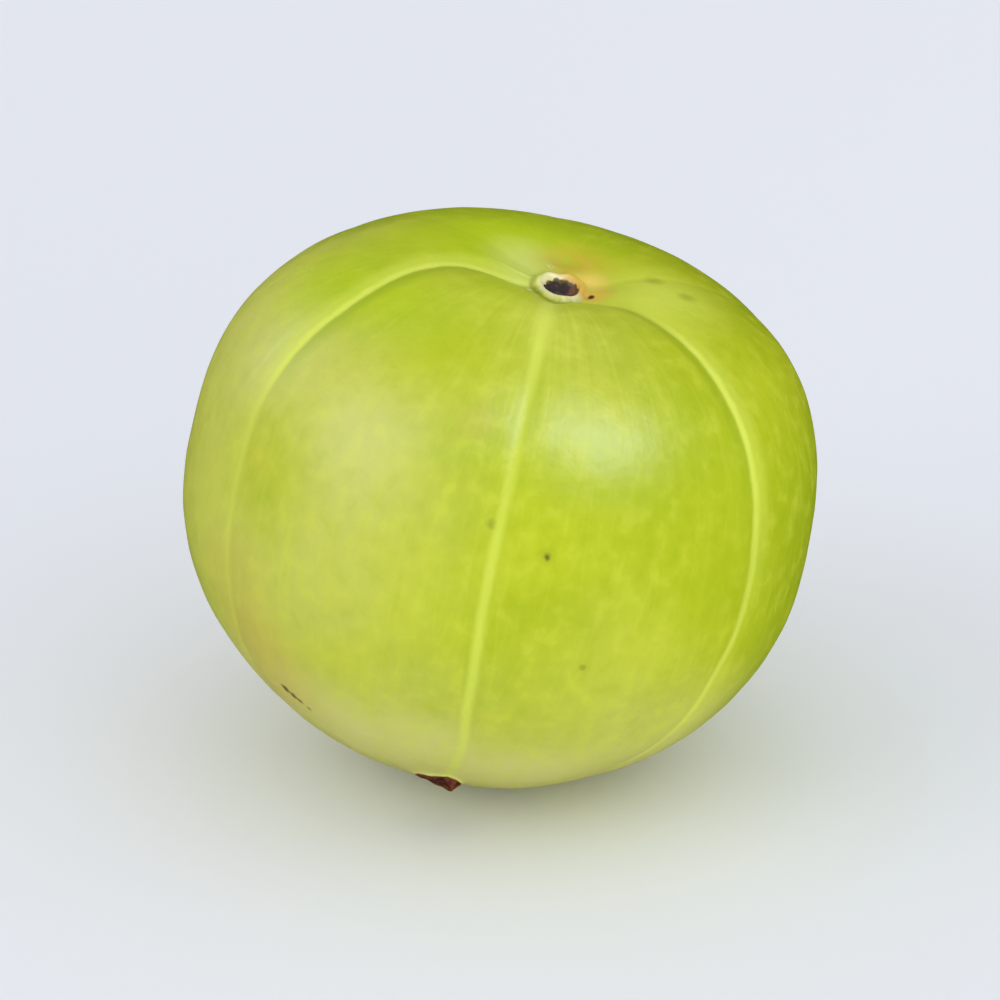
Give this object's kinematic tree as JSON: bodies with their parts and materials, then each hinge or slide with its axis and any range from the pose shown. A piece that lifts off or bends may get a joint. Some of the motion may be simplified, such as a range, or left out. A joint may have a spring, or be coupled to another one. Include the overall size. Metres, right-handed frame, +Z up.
{
  "type": "indian gooseberry",
  "caption": "Whole round yellow-green berry, slightly flattened at the ends, with shallow furrows from pole to pole, a small stem scar in a basin and a small flat rest spot.",
  "frame": {"origin": "on the rest plane, under the middle of the fruit's box", "axes": "+Z up from the surface it rests on, -Y towards the side that faces front, +X to the right; the fruit's own axis leans 13 degrees to the right"},
  "size_m": [0.0344, 0.0338, 0.0297],
  "materials": {
    "fruit_skin": "smooth, faintly waxy, slightly translucent skin"
  },
  "bodies": {
    "root": {"fruit": "fruit_skin"}
  },
  "joints": []
}
